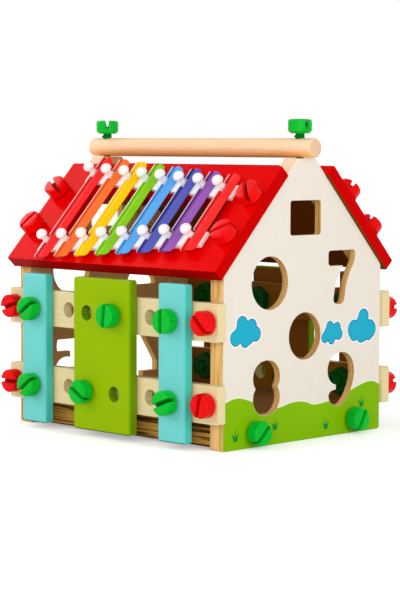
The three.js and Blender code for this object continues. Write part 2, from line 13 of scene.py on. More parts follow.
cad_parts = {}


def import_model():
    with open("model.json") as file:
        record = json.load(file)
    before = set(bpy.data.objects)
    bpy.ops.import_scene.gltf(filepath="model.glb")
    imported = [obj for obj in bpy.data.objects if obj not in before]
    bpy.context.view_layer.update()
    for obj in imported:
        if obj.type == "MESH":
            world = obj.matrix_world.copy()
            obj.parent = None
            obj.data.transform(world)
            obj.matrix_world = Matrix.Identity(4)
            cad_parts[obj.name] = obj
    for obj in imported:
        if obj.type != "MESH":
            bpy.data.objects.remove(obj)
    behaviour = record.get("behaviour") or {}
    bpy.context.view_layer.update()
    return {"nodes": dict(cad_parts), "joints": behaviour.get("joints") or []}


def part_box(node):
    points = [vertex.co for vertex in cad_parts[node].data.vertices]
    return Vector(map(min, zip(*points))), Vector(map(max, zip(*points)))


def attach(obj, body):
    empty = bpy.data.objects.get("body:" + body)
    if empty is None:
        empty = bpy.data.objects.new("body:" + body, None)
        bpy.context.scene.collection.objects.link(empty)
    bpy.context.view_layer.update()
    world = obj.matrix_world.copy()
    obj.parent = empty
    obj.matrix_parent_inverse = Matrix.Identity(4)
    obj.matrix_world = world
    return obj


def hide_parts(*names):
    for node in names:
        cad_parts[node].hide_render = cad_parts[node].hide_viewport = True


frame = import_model()

MM = 0.001


def tint(red, green, blue):
    """A colour written as it shows on a screen, as the linear colour that a shader takes.
    The numbers are those of the sRGB curve."""
    parts = np.array([red, green, blue]) / 255
    linear = np.where(parts <= 0.04045, parts / 12.92, ((parts + 0.055) / 1.055) ** 2.4)
    return (*linear.tolist(), 1.0)


def darker(colour, share):
    """A linear colour with its light cut to a share."""
    return (*(share * part for part in colour[:3]), 1.0)


# Camera, fitted to the photograph's corners
PICTURE_HEIGHT = 600
FOCAL_PIXELS = 1960.16
AZIMUTH = math.radians(44.727)
ELEVATION = math.radians(4.519)
ROLL = math.radians(0.208)
CAMERA_PLACE = Vector((1018.92, -1027.07, 207.34)) * MM
SENSOR = 36
CLIP_END = 20

# Lamps: name, place, aim, size and power
LAMPS = [
    ("key", (-0.5, -1.7, 0.9), (0, 0, 0.1), 1.1, 9.6),
    ("front", (1.25, -1.35, 0.5), (0, 0, 0.1), 0.9, 10.4),
    ("fill", (1.9, -0.1, 0.65), (0, 0, 0.1), 1.2, 10.2),
    ("left", (-1.5, -0.22, 1.0), (0, 0, 0.15), 0.9, 9),
    ("back", (-0.45, 1.8, 0.8), (0, 0, 0.1), 1.1, 9),
]
WORLD_STRENGTH = 0.42

# Floor: its light where it is seen, near the house and far away, and between which
# distances the one gives way to the other
FLOOR_LIFT = (0.38, 0.62)
SHADOW_REACH = (0.2, 0.9)
FLOOR_HALF = 6
FLOOR_SHADE = (0.9, 0.9, 0.9, 1)
FLOOR_ROUGH = 0.9

# Steps of a whole turn on shanks and studs, of a quarter turn on bars and dowel, the angle
# in degrees from which an edge is sharp, and the distance under which points are one
ROUND_STEPS = 24
CORNER_STEPS = 9
SHARP = 40
WELD = 0.002 * MM

# Bolts: the moulded head and its slot. Shares run along the seat, the side and the dome.
# The slot's foot is a small step: how far it goes out and in, and how high it is.
HEAD_CHAMFER = 1.8 * MM
HEAD_RING = 0.25 * MM
HEAD_SIDE = 2 * MM
HEAD_ROUND = 1.5 * MM
HEAD_ROUND_STEPS = 7
HEAD_DOME = 0.25 * MM
HEAD_SINK = 0.6 * MM
HEAD_SLICES = 14
SEAT_SHARES = (0, 0.35, 0.7, 0.9, 1)
SIDE_SHARES = (1, 0.4, 0)
DOME_SHARES = (0.85, 0.6, 0.3, 0)
SLOT_TOP = 3.0 * MM
SLOT_FLOOR = 1.9 * MM
SLOT_DEPTH = 4.8 * MM
SLOT_LIP = 0.55 * MM
SLOT_LIP_BEND = 0.3 * SLOT_LIP
SLOT_FOOT_OUT = 0.1 * MM
SLOT_FOOT_IN = 0.3 * MM
SLOT_FOOT_HEIGHT = 0.5 * MM
SLOT_MARGIN = 0.5 * MM
# Name of the mesh attribute that marks where painted shade goes on a bolt
RECESS_SHADE = "recess"

# Bolts: the threaded shank, and a handle bolt's bare neck and slim waist
THREAD_CORE = 3.2 * MM
THREAD_CREST = 4.15 * MM
THREAD_PITCH = 4.4 * MM
THREAD_POWER = 3
THREAD_START = 1.2 * MM
THREAD_RUN_OUT = 3 * MM
SHANK_STEP = 0.45 * MM
TIP_LENGTH = 0.5 * MM
TIP_SHARE = 0.8
NECK_CREST = 4.7 * MM
NECK_LENGTH = 3.6 * MM
WAIST = 2.4 * MM
WAIST_PAST = 2.5 * MM

# From this share on, an axis counts as upright
NEARLY_UPRIGHT = 0.99

# Turn of each bolt's slot, in degrees from upright, as seen from outside
SLOT_TURNS = {
    "front_post_bolt_upper_left": -55, "front_post_bolt_lower_left": -53,
    "front_door_bolt_upper": -6, "front_door_bolt_lower": 58,
    "front_post_bolt_upper_right": 1, "front_post_bolt_lower_right": -69,
    "front_rail_bolt_upper_right": 45, "front_rail_bolt_lower_right": -11,
    "front_rail_bolt_upper_left": 105, "front_rail_bolt_lower_left": 90,
    "gable_bolt_right_front": -47, "gable_bolt_right_back": -29,
    "front_roof_bolt_upper_left": 58, "front_roof_bolt_lower_left": -20,
    "front_roof_bolt_upper_right": 35, "front_roof_bolt_lower_right": -55,
    "back_roof_bolt_upper_left": 52, "back_roof_bolt_lower_left": 30,
    "back_rail_bolt_upper_left": 84, "back_rail_bolt_lower_left": 76,
    "handle_bolt_left": 45, "handle_bolt_right": 75,
}
OTHER_TURN = 35

# Xylophone: how far the first and the last stud are from the roof board's lower and upper
# edge, and the studs' own sizes
LOW_STUDS = (16 * MM, 27.5 * MM)
HIGH_STUDS = (13 * MM, 23.9 * MM)
STUD_INSET = 0.7 * MM
STUD_SINK = 0.1 * MM
STUD_FOOT = 2.8 * MM
STUD_TAPER = 0.93
STUD_TAPER_HEIGHT = 0.25
STUD_NECK = 2.05 * MM
STUD_NECK_HEIGHT = 4.6 * MM
STUD_HEAD = 4.15 * MM
STUD_HEAD_HEIGHT = 6.4 * MM
STUD_RIM = 0.38
STUD_UNDERSIDE = math.pi / 2.6
STUD_STEPS = 12

# Xylophone: notches, the bars' pressed section from left to right, and the combs
NOTCH_DEPTH = 3.9 * MM
NOTCH_HALF = 3.4 * MM
NOTCH_PAST = 1.3 * MM
BAR_SHEET = 1.2 * MM
BAR_BEND = 1.5 * MM
BAR_CORNER_LEFT = 2 * MM
BAR_CORNER_RIGHT = 4.5 * MM
BAR_RIM = 1.8 * MM
BAR_VALLEY = 0.9 * MM
BAR_VALLEY_PLACE = 3.2 * MM
BAR_VALLEY_LEFT = 0.3 * MM
BAR_VALLEY_RIGHT = 0.4 * MM
BAR_CROWN = 0.5 * MM
BAR_RIDGE = 7.9 * MM
BAR_RIDGE_HALF = 0.4 * MM
BAR_FALL = 0.9 * MM
BAR_SET_IN = 3.1 * MM
BAR_SKIRT_BLEND = 0.2 * MM
BAR_HAIR = 0.01 * MM
BAR_ROWS = 9
BAR_STEPS = 61
BAR_SHARP = 30
BAR_OVER_COMB = 0.3 * MM
COMB_BELOW = 8.7 * MM
COMB_ABOVE = 3.2 * MM
COMB_ROUND = 0.5 * MM
COMB_ROUND_BEND = 0.3
COMB_SIDE_STEPS = 6
COMB_SET_IN = 3.4 * MM

# Handle
DOWEL_ROUND = 2.2 * MM
DOWEL_BULGE = 0.15 * MM
DOWEL_STATIONS = 40
DOWEL_STEPS = 48

# Prints on the gables, in millimetres: across to the right as seen from outside, and up.
# Clouds are round bumps, as place, height and radius. Tufts are place and foot.
CLOUDS = [
    [(-63.9, 86.2, 5.5), (-54.7, 84.0, 5.3), (-50.7, 78.5, 5.3), (-61.0, 74.2, 4.6),
     (-70.2, 76.7, 5.6), (-58.9, 79.2, 8.1), (-65, 79.5, 6.6)],
    [(26.8, 78.9, 3.9), (34.6, 77.6, 4.0), (36.2, 72.9, 4.4), (28.6, 69.4, 3.7),
     (21.7, 71.2, 4.1), (29.3, 73.6, 5.8), (25.5, 74.0, 5.0), (30.8, 76, 4.6)],
    [(63.8, 83.7, 5.8), (53.5, 75.0, 7.0), (70.7, 74.3, 7.0), (61.2, 68.9, 4.1),
     (53.4, 71.2, 4.7), (62.1, 73.4, 8.4), (69.4, 70.7, 4.7), (62.7, 78.9, 7)],
]
GRASS_TOP = [
    (-82.5, 31.5), (-76, 34.6), (-69, 35.6), (-58, 33.5), (-40, 26.5), (-26, 25.6),
    (-15, 27.6), (-7, 28), (2, 26.8), (10, 24.4), (18, 24.6), (27, 25.6), (40, 28.5),
    (53, 32), (64, 35), (72, 36), (82.5, 32.5),
]
TUFTS = [(-70.3, 6.0), (-30.5, 10.2), (23.2, 5.5), (62.4, 18.0)]
TUFT_HEIGHT = 10.6
TUFT_FOOT = 2.2
TUFT_SPREAD = 4.4
TUFT_LEAN = 1.4
TUFT_SIDE_HEIGHT = 6.4
CLOUD_BORDER = 0.8
CLOUD_HALO = 1.1
CLOUD_MELT = 0.8
GABLE_HALF_DEPTH = 82.5
GRASS_SCALE = 50

# Where each print starts and is full, in millimetres from its outline
GRASS_STEP = (-0.1, 0.3)
GRASS_LINE_STEP = (-0.9, -0.5)
TUFT_STEP = (-0.05, 0.2)
TUFT_FOOT_STEP = (-0.2, 0.1)
HALO_STEP = (0, 0.5)
BORDER_STEP = (-0.2, 0.1)
CLOUD_STEP = (-0.2, 0.3)

# The gables' sloping edges: the shares of Y and Z across them and how far they are from
# the middle of the house, then where their plies, painted paler as light from above, start.
# The outer face is where X times the face's own X passes between two values. All in millimetres.
GABLE_SLOPE = (0.7266, 0.6871, 143.09)
GABLE_SLOPE_STEP = (-0.3, -0.1)
GABLE_OUTER_STEP = (40, 60)

# The rails are darkened by painted shade inside the house, up to the gables. The nuts,
# green darkened by painted shade, start at their inner face. Steps are in millimetres.
RAIL_INDOORS = 95
INDOORS_STEP = (0, 1)
NUT_START = 0.15
NUT_STEP = (0, 0.1)

# How far a face looks along an axis, where one finish gives way to another
SHADED_SIDE_FACING = (0.55, 0.8)
UNDER_FACING = (0.4, 0.6)
INWARD_FACING = (0.5, 0.7)
FLAT_FACING = (0.4, 0.7)
BORE_FACING = (0.3, 0.6)
END_FACING = (0.5, 0.8)
LEVEL_FACING = (0.9, 0.99)
DOWEL_END_FACING = (0.5, 0.95)
DOWEL_UNDER_FACING = (-0.1, 0.8)
NOT_UP_FACING = (-0.3, -0.1)
EDGE_TURN = (0.01, 0.2)

# Rounding of sharp edges, how wide the painted edge highlights are, depth of the surfaces'
# bumps, and how far light goes into the white plastic
BEVEL_SAMPLES = 8
PAINT_ROUND = 0.9 * MM
GABLE_ROUND = 0.6 * MM
GABLE_HIGHLIGHT_WIDTH = 0.7 * MM
RAIL_ROUND = 0.6 * MM
RAIL_HIGHLIGHT_WIDTH = 0.5 * MM
BASE_ROUND = 0.5 * MM
PAINT_BUMP = 0.05 * MM
GABLE_BUMP = 0.04 * MM
RAIL_BUMP = 0.06 * MM
BASE_BUMP = 0.08 * MM
DOWEL_BUMP = 0.05 * MM
PLASTIC_BUMP = 0.12 * MM
ENAMEL_BUMP = 0.03 * MM
SUBSURFACE_SCALE = 3 * MM

# Roughness, and how far it varies
GABLE_ROUGH = 0.62
GABLE_PAINT_ROUGH = 0.48
PAINT_ROUGH_REACH = 0.12
BASE_ROUGH = 0.7
RAIL_ROUGH = 0.6
NUT_ROUGH = 0.35
DOWEL_ROUGH = 0.5
PLASTIC_ROUGH_REACH = 0.1
ENAMEL_ROUGH = (0.22, 0.08)

# Specular levels
PRINT_SPECULAR = 0.06
BARE_SPECULAR = 0.1
PLASTIC_SPECULAR = 0.08
ENAMEL_SPECULAR = 0.06

# Noise: repeats per metre along X, Y and Z
PAINT_GRAIN = {"X": (60, 900, 900), "Z": (900, 900, 60)}
PAINT_PATCHES = (14, 14, 14)
GABLE_GRAIN = (700, 700, 45)
GABLE_STREAKS = (480, 30, 26)
GRASS_PATCHES = (18, 18, 18)
BASE_GRAIN = (40, 700, 700)
BASE_STREAKS = (9, 9, 560)
RAIL_GRAIN = (45, 800, 800)
DOWEL_GRAIN = (22, 420, 420)
PLASTIC_PATCHES = (60, 60, 60)
PLASTIC_GRAIN = (900, 900, 900)
ENAMEL_PATCHES = (30, 30, 30)
ENAMEL_PEEL = (700, 700, 700)
FLOW_SHARE = 0.2

# Noise: the middle and the reach with which it mixes two colours, or the values between
# which it goes from one layer to the next
PAINT_GRAIN_MIX = (0, 0.22)
PAINT_PATCH_MIX = (0.1, 0.3)
CREAM_MIX = (0.3, 0.6)
GABLE_INSIDE_MIX = (0.5, 1.2)
RAIL_MIX = (0.4, 1.4)
DOWEL_MIX = (0.45, 1.5)
PLASTIC_MIX = (0.4, 1.4)
ENAMEL_MIX = (0.1, 0.3)
GABLE_PLY_STEP = (0.32, 0.62)
BASE_PLY_STEP = (0.42, 0.52)

# How strong a painted edge highlight or a printed halo is over what is below it
PAINT_HIGHLIGHT_SHARE = 0.8
GABLE_HIGHLIGHT_SHARE = 0.85
RAIL_HIGHLIGHT_SHARE = 0.5
HALO_SHARE = 0.8

# Colours. Two in a pair are the ends between which a noise varies.
WHITE = (1, 1, 1, 1)
CREAM = tint(240, 232, 220), tint(230, 220, 204)
GRASS = tint(124, 178, 0), tint(138, 190, 0)
GRASS_LINE = tint(240, 246, 214)
TUFT = tint(0, 140, 45)
CLOUD = tint(34, 174, 204)
CLOUD_RIM = tint(18, 136, 172)
CLOUD_GLOW = tint(252, 253, 252)
# A painted highlight along the gable's sharp edges
GABLE_EDGE_HIGHLIGHT = tint(250, 238, 208)
GABLE_PLIES = tint(198, 146, 74), tint(238, 194, 124)
# Plies of the sloping edges, painted paler as light from above
LIT_SLOPE_PLIES = tint(255, 226, 196), tint(246, 208, 172)
GABLE_INSIDE = tint(226, 178, 112), tint(238, 192, 126)
BASE_PLIES = tint(66, 38, 0), tint(192, 142, 64)
BASE_FLAT = tint(150, 104, 52), tint(176, 130, 70)
RAIL = tint(240, 223, 175), tint(226, 203, 146)
RAIL_BORE = tint(214, 174, 112)
# A painted highlight along the rails' sharp edges
RAIL_EDGE_HIGHLIGHT = tint(255, 246, 228)
# Painted shade on the rails' inner face inside the house
RAIL_INSIDE_SHADE = tint(165, 112, 30)
# The nuts' green, darkened by painted shade
SHADED_NUT = tint(0, 96, 28)
DOWEL = tint(255, 224, 188), tint(254, 202, 154)
# Painted warm light bounced up from the red roof, under the dowel
DOWEL_BOUNCE_BELOW = tint(255, 182, 110)
DOWEL_END = tint(240, 200, 164), tint(226, 186, 150)
# Bare wood darkened by painted shade, on the boards' faces into the house
BOARD_INSIDE_SHADE = tint(150, 98, 30)
# Bare wood darkened by painted shade, under the roof
ROOF_INSIDE_SHADE = tint(118, 66, 10)
BAR_GLINT = tint(255, 252, 250)

# How light a painted board is in its darker grain, and on its underside, where the
# darkening is painted shade
PAINT_GRAIN_LIGHT = 0.86
PAINT_UNDERSIDE_SHADE = 0.6

# Paints: face, a paler rim along the edges that is painted highlight, the colour of the
# side faces, painted shade that the undersides take darker still, the face into the house
# in bare wood darkened by painted shade, roughness, specular level and the axis that the
# grain follows
PAINTS = {
    "turquoise_paint": (tint(115, 210, 206), tint(146, 222, 219), tint(76, 199, 187),
                        BOARD_INSIDE_SHADE, 0.42, 0.06, "Z"),
    "leaf_paint": (tint(150, 184, 0), tint(182, 198, 50), tint(120, 162, 0),
                   BOARD_INSIDE_SHADE, 0.42, 0.04, "Z"),
    "roof_paint": (tint(230, 0, 0), tint(238, 16, 16), tint(204, 0, 0),
                   ROOF_INSIDE_SHADE, 0.2, 0.014, "X"),
}

# Plastics: the two ends of the mottle and the painted shade down in a slot and on the
# shank, then roughness and the share of light that goes in
PLASTICS = {
    "green_bolt": (tint(0, 196, 52), tint(0, 170, 36), tint(0, 84, 16), 0.28, 0.0),
    "red_bolt": (tint(240, 8, 8), tint(218, 0, 2), tint(146, 0, 0), 0.28, 0.0),
    "comb_plastic": (tint(250, 247, 246), tint(243, 240, 239), None, 0.35, 0.6),
}
# How far the painted shade in a slot and on a shank covers the plastic's colour
RECESS_SHADE_SHARE = 0.8
RECESS_ROUGHNESS = 0.5

# Bars: the left side, painted darker as shade, the right side, painted lighter as light,
# and how dark the painted shade in the groove beside the rim is
BAR_TINTS = [
    ((240, 20, 26), (252, 44, 48), 0.4), ((252, 100, 22), (254, 116, 44), 0.4),
    ((255, 206, 0), (255, 200, 0), 0.12), ((134, 208, 0), (130, 200, 24), 0.4),
    ((76, 164, 238), (96, 168, 238), 0.55), ((68, 74, 174), (92, 95, 186), 0.9),
    ((138, 70, 166), (152, 94, 182), 0.8), ((242, 22, 22), (254, 48, 44), 0.45),
]
# How dark the groove's painted shade is, and how strong the painted glint on the rim is
GROOVE_SHADE_SHARE = 0.22
GLINT_SHARE = 0.5

# Bars: where each line starts and is full, in millimetres from the bar's left edge or,
# for the change of sides, from its ridge
GLINT_STEP = (1.7, 2.1)
GROOVE_START = (2.0, 2.4)
GROOVE_END = (3.1, 3.8)
RIDGE_STEP = (-0.3, 0.4)


# Shader maths

class Value:
    """One output of a shader node. Python's operators on it add Math nodes."""

    def __init__(self, finish, socket):
        self.finish = finish
        self.socket = socket

    def math(self, operation, *values):
        """A Math node's result. A value may be a number or another output."""
        return self.finish.node("ShaderNodeMath", {"operation": operation}, values)

    def __add__(self, other):
        return self.math("ADD", self, other)

    def __radd__(self, other):
        return self.math("ADD", other, self)

    def __sub__(self, other):
        return self.math("SUBTRACT", self, other)

    def __rsub__(self, other):
        return self.math("SUBTRACT", other, self)

    def __mul__(self, other):
        return self.math("MULTIPLY", self, other)

    def __rmul__(self, other):
        return self.math("MULTIPLY", other, self)

    def __truediv__(self, other):
        return self.math("DIVIDE", self, other)

    def __rtruediv__(self, other):
        return self.math("DIVIDE", other, self)

    def __pow__(self, other):
        return self.math("POWER", self, other)

    def __rpow__(self, other):
        return self.math("POWER", other, self)

    def __neg__(self):
        return self.math("SUBTRACT", 0, self)

    def __abs__(self):
        return self.math("ABSOLUTE", self)

    def root(self):
        return self.math("SQRT", self)

    def sign(self):
        return self.math("SIGN", self)

    def most(self, other):
        """The most of two values."""
        return self.math("MAXIMUM", self, other)

    def melt(self, other, reach):
        """The least of two values, with a soft change from one to the other."""
        return self.math("SMOOTH_MIN", self, other, reach)

    def rise(self, low, high):
        """0 below low, 1 above high and a smooth step between them."""
        return self.finish.node(
            "ShaderNodeMapRange", {"interpolation_type": "SMOOTHSTEP"},
            {"Value": self, "From Min": low, "From Max": high})

    def around(self, middle, reach):
        """Noise around one half, as a value around a middle with a reach of its own."""
        return (self - 0.5) * reach + middle


class Finish:
    """A material's or a world's nodes, and the short ways to them."""

    def __init__(self, owner):
        self.owner = owner
        owner.use_nodes = True
        self.tree = owner.node_tree
        self.tree.nodes.clear()

    @classmethod
    def material(cls, name):
        """A new material, still without nodes."""
        return cls(bpy.data.materials.new(name))

    def node(self, kind, settings=None, values=(), output=0):
        """Adds a node: first its settings, then its sockets' values or links. Points are
        those of a curve. Gives one of its outputs, where it has any."""
        made = self.tree.nodes.new(kind)
        for name, value in (settings or {}).items():
            if name == "points":
                curve = made.mapping.curves[0]
                for place, level in value[1:-1]:
                    curve.points.new(place, level)
                curve.points[0].location = value[0]
                curve.points[-1].location = value[-1]
                made.mapping.update()
            else:
                setattr(made, name, value)
        pairs = values.items() if isinstance(values, dict) else enumerate(values)
        for key, value in pairs:
            if isinstance(value, Value):
                self.tree.links.new(value.socket, made.inputs[key])
            elif value is not None:
                made.inputs[key].default_value = value
        return Value(self, made.outputs[output]) if made.outputs else None

    def mix(self, share, first, second):
        """The first colour where share is 0, the second where it is 1."""
        return self.node(
            "ShaderNodeMix", {"data_type": "RGBA"}, {0: share, 6: first, 7: second}, output=2)

    def place(self):
        """Where a point is on the object, as three values in millimetres."""
        point = self.node("ShaderNodeTexCoord", output="Object")
        scaled = self.node(
            "ShaderNodeVectorMath", {"operation": "SCALE"}, {0: point, "Scale": 1 / MM})
        return self.parts(scaled)

    def facing(self):
        """The surface's own direction, as three values."""
        return self.parts(self.node("ShaderNodeNewGeometry", output="Normal"))

    def parts(self, vector):
        """A vector's X, Y and Z."""
        return [self.node("ShaderNodeSeparateXYZ", None, {0: vector}, output=axis)
                for axis in "XYZ"]

    def noise(self, stretch, detail=3, roughness=0.55):
        """Noise from 0 to 1, with its own repeats per metre along X, Y and Z."""
        point = self.node("ShaderNodeTexCoord", output="Object")
        scaled = self.node("ShaderNodeMapping", None, {"Vector": point, "Scale": stretch})
        return self.node(
            "ShaderNodeTexNoise", None,
            {"Vector": scaled, "Scale": 1.0, "Detail": detail, "Roughness": roughness})

    def soft_edges(self, radius):
        """A normal that rounds sharp edges off by a radius."""
        return self.node("ShaderNodeBevel", {"samples": BEVEL_SAMPLES}, {"Radius": radius})

    def edges(self, radius):
        """1 along the sharp edges, within a radius, and 0 on the flat."""
        normal = self.node("ShaderNodeNewGeometry", output="True Normal")
        along = self.node(
            "ShaderNodeVectorMath", {"operation": "DOT_PRODUCT"},
            {0: self.soft_edges(radius), 1: normal}, output="Value")
        return (1 - along).rise(*EDGE_TURN)

    def bump(self, height, depth, normal=None):
        """A normal with bumps of a depth, on top of another normal."""
        return self.node(
            "ShaderNodeBump", None,
            {"Height": height, "Distance": depth, "Strength": 1.0, "Normal": normal})

    def surface(self, colour, roughness, normal=None, **constants):
        """Ends the material in a Principled shader. Constants are set on its own sockets."""
        names = {"specular": "Specular IOR Level", "subsurface": "Subsurface Weight",
                 "subsurface_scale": "Subsurface Scale", "subsurface_radius": "Subsurface Radius"}
        values = {"Base Color": colour, "Roughness": roughness, "Normal": normal}
        values.update({names[key]: value for key, value in constants.items()})
        shader = self.node("ShaderNodeBsdfPrincipled", None, values)
        return self.end(shader, "Material")

    def end(self, shader, kind):
        """Joins the last shader to the output of its kind, and gives what owns the nodes."""
        self.node("ShaderNodeOutput" + kind, None, {"Surface": shader})
        return self.owner


def inward(y, ny):
    """1 on the faces that look into the house, from either of its long sides."""
    return (-ny * y.sign()).rise(*INWARD_FACING)


def painted_wood(name, face, rim, side, back, gloss, specular, grain_axis):
    """Paint on a board: a paler rim along the edges that is a painted highlight, painted shade
    on the side faces and the undersides, bare wood darkened by painted shade on the face that
    looks into the house, faint grain."""
    finish = Finish.material(name)
    _, y, _ = finish.place()
    nx, ny, nz = finish.facing()
    grain = finish.noise(PAINT_GRAIN[grain_axis])
    cloudy = finish.noise(PAINT_PATCHES, detail=2)
    uneven = grain.around(*PAINT_GRAIN_MIX) + cloudy.around(*PAINT_PATCH_MIX)
    shade = finish.mix(uneven, face, darker(face, PAINT_GRAIN_LIGHT))
    # Painted shade: the side faces, which look along X, take the darker side colour
    shade = finish.mix(abs(nx).rise(*SHADED_SIDE_FACING), shade, side)
    # Painted shade: faces that look down take a darker copy of the side colour
    shade = finish.mix((-nz).rise(*UNDER_FACING), shade, darker(side, PAINT_UNDERSIDE_SHADE))
    # Painted highlight: a paler rim along the sharp edges
    shade = finish.mix(finish.edges(PAINT_ROUND) * PAINT_HIGHLIGHT_SHARE, shade, rim)
    # Painted shade: bare wood, darkened, on the faces that look into the house
    shade = finish.mix(inward(y, ny) * (-nz).rise(*NOT_UP_FACING), shade, back)
    rough = grain.around(gloss, PAINT_ROUGH_REACH)
    normal = finish.bump(grain, PAINT_BUMP, finish.soft_edges(PAINT_ROUND))
    return finish.surface(shade, rough, normal, specular=specular)


def grass(finish, across, z, printed):
    """Grass over a print: below a wavy top edge, with a pale line along it."""
    share = (across + GABLE_HALF_DEPTH) / (2 * GABLE_HALF_DEPTH)
    points = [((place + GABLE_HALF_DEPTH) / (2 * GABLE_HALF_DEPTH), top / GRASS_SCALE)
              for place, top in GRASS_TOP]
    top = finish.node("ShaderNodeFloatCurve", {"points": points}, {"Value": share}) * GRASS_SCALE
    below = top - z
    leaf = finish.mix(finish.noise(GRASS_PATCHES, detail=2), *GRASS)
    printed = finish.mix(below.rise(*GRASS_LINE_STEP), printed, GRASS_LINE)
    return finish.mix(below.rise(*GRASS_STEP), printed, leaf)


def tufts(finish, across, z, printed):
    """Tufts over a print: a tall blade between two that lean out."""
    blades = None
    for place, foot in TUFTS:
        climb = z - foot
        aside = abs(across - place)
        tall = TUFT_FOOT * 0.5 * (1 - climb / TUFT_HEIGHT) - aside
        lean = climb / TUFT_SIDE_HEIGHT
        offset = lean.most(0) ** TUFT_LEAN * TUFT_SPREAD
        side = TUFT_FOOT * (1 - lean) - abs(aside - offset)
        shape = tall.most(side).rise(*TUFT_STEP) * climb.rise(*TUFT_FOOT_STEP)
        blades = shape if blades is None else blades.most(shape)
    return finish.mix(blades, printed, TUFT)


def clouds(finish, across, z, printed):
    """Clouds over a print: the union of round bumps, a darker border and a white halo."""
    distance = None
    for place, height, radius in sum(CLOUDS, []):
        span = ((across - place) ** 2 + (z - height) ** 2).root() - radius
        distance = span if distance is None else distance.melt(span, CLOUD_MELT)
    halo = (CLOUD_HALO - distance).rise(*HALO_STEP)
    printed = finish.mix(halo * HALO_SHARE, printed, CLOUD_GLOW)
    printed = finish.mix((-distance).rise(*BORDER_STEP), printed, CLOUD_RIM)
    return finish.mix((-distance - CLOUD_BORDER).rise(*CLOUD_STEP), printed, CLOUD)


def gable_paint():
    """Cream paint with clouds, grass and tufts on the outer face, and a paler rim along its
    sharp edges that is a painted highlight. Elsewhere bare plywood: thin layers across the
    thickness, painted paler as light from above on the sloping edges, and an inner face with
    upright grain."""
    finish = Finish.material("gable_paint")
    x, y, z = finish.place()
    nx, _, _ = finish.facing()
    across = y * x.sign()
    outer = (nx * x).rise(*GABLE_OUTER_STEP)
    grain = finish.noise(GABLE_GRAIN)

    printed = finish.mix(grain.around(*CREAM_MIX), *CREAM)
    for add in (grass, tufts, clouds):
        printed = add(finish, across, z, printed)
    # Painted highlight: a paler rim along the sharp edges of the outer face
    printed = finish.mix(finish.edges(GABLE_HIGHLIGHT_WIDTH) * GABLE_HIGHLIGHT_SHARE, printed, GABLE_EDGE_HIGHLIGHT)

    streaks = finish.noise(GABLE_STREAKS, detail=4, roughness=0.7)
    plies = finish.mix(streaks.rise(*GABLE_PLY_STEP), *GABLE_PLIES)
    share_y, share_z, distance = GABLE_SLOPE
    slope = (abs(y) * share_y + z * share_z - distance).rise(*GABLE_SLOPE_STEP)
    # Painted light: the plies on the upward sloping edges are paler
    plies = finish.mix(slope, plies, finish.mix(streaks, *LIT_SLOPE_PLIES))
    inside = finish.mix(grain.around(*GABLE_INSIDE_MIX), *GABLE_INSIDE)
    bare = finish.mix(abs(nx).rise(*FLAT_FACING), plies, inside)
    colour = finish.mix(outer, bare, printed)
    rough = GABLE_ROUGH - outer * (GABLE_ROUGH - GABLE_PAINT_ROUGH)
    normal = finish.bump(grain, GABLE_BUMP, finish.soft_edges(GABLE_ROUND))
    return finish.surface(colour, rough, normal, specular=PRINT_SPECULAR)


def plywood():
    """A thick board: dark and light layers on its edges, tan faces with grain along X."""
    finish = Finish.material("base_plywood")
    _, _, nz = finish.facing()
    grain = finish.noise(BASE_GRAIN)
    streaks = finish.noise(BASE_STREAKS, detail=3, roughness=0.6)
    plies = finish.mix(streaks.rise(*BASE_PLY_STEP), *BASE_PLIES)
    colour = finish.mix(abs(nz).rise(*FLAT_FACING), plies, finish.mix(grain, *BASE_FLAT))
    normal = finish.bump(grain, BASE_BUMP, finish.soft_edges(BASE_ROUND))
    return finish.surface(colour, BASE_ROUGH, normal, specular=PRINT_SPECULAR)


def rail_wood():
    """Sanded pale wood with grain along X and a paler rim along the edges that is a painted
    highlight, painted shade on the inner face inside the house, and the nuts on the inner
    face in green darkened by painted shade.
    """
    finish = Finish.material("rail_wood")
    x, y, _ = finish.place()
    nx, ny, nz = finish.facing()
    grain = finish.noise(RAIL_GRAIN, detail=4)
    pale = finish.mix(grain.around(*RAIL_MIX), *RAIL)
    rails = finish.mix(abs(ny).rise(*BORE_FACING), RAIL_BORE, pale)
    rails = finish.mix(abs(nx).rise(*END_FACING) + abs(nz).rise(*LEVEL_FACING), rails, pale)
    # Painted highlight: a paler rim along the sharp edges
    rails = finish.mix(finish.edges(RAIL_HIGHLIGHT_WIDTH) * RAIL_HIGHLIGHT_SHARE, rails, RAIL_EDGE_HIGHLIGHT)
    indoors = (RAIL_INDOORS - abs(x)).rise(*INDOORS_STEP)
    # Painted shade: the inner face inside the house is darker
    rails = finish.mix(inward(y, ny) * indoors, rails, RAIL_INSIDE_SHADE)
    # The nuts: green, darkened by painted shade
    nut = (GABLE_HALF_DEPTH + NUT_START - abs(y)).rise(*NUT_STEP)
    colour = finish.mix(nut, rails, SHADED_NUT)
    rough = RAIL_ROUGH - nut * (RAIL_ROUGH - NUT_ROUGH)
    normal = finish.bump(grain, RAIL_BUMP, finish.soft_edges(RAIL_ROUND))
    return finish.surface(colour, rough, normal, specular=BARE_SPECULAR)


def handle_wood():
    """Turned dowel: peach wood with long grain, warmer below with painted light bounced up
    from the red roof, and paler on its end faces.
    """
    finish = Finish.material("handle_wood")
    nx, _, nz = finish.facing()
    grain = finish.noise(DOWEL_GRAIN, detail=4)
    warm = finish.mix(grain.around(*DOWEL_MIX), *DOWEL)
    # Painted light: warm light bounced up from the red roof, on the faces that look down
    warm = finish.mix((-nz).rise(*DOWEL_UNDER_FACING), warm, DOWEL_BOUNCE_BELOW)
    end = finish.mix(grain, *DOWEL_END)
    colour = finish.mix(abs(nx).rise(*DOWEL_END_FACING), warm, end)
    normal = finish.bump(grain, DOWEL_BUMP)
    return finish.surface(colour, DOWEL_ROUGH, normal, specular=BARE_SPECULAR)


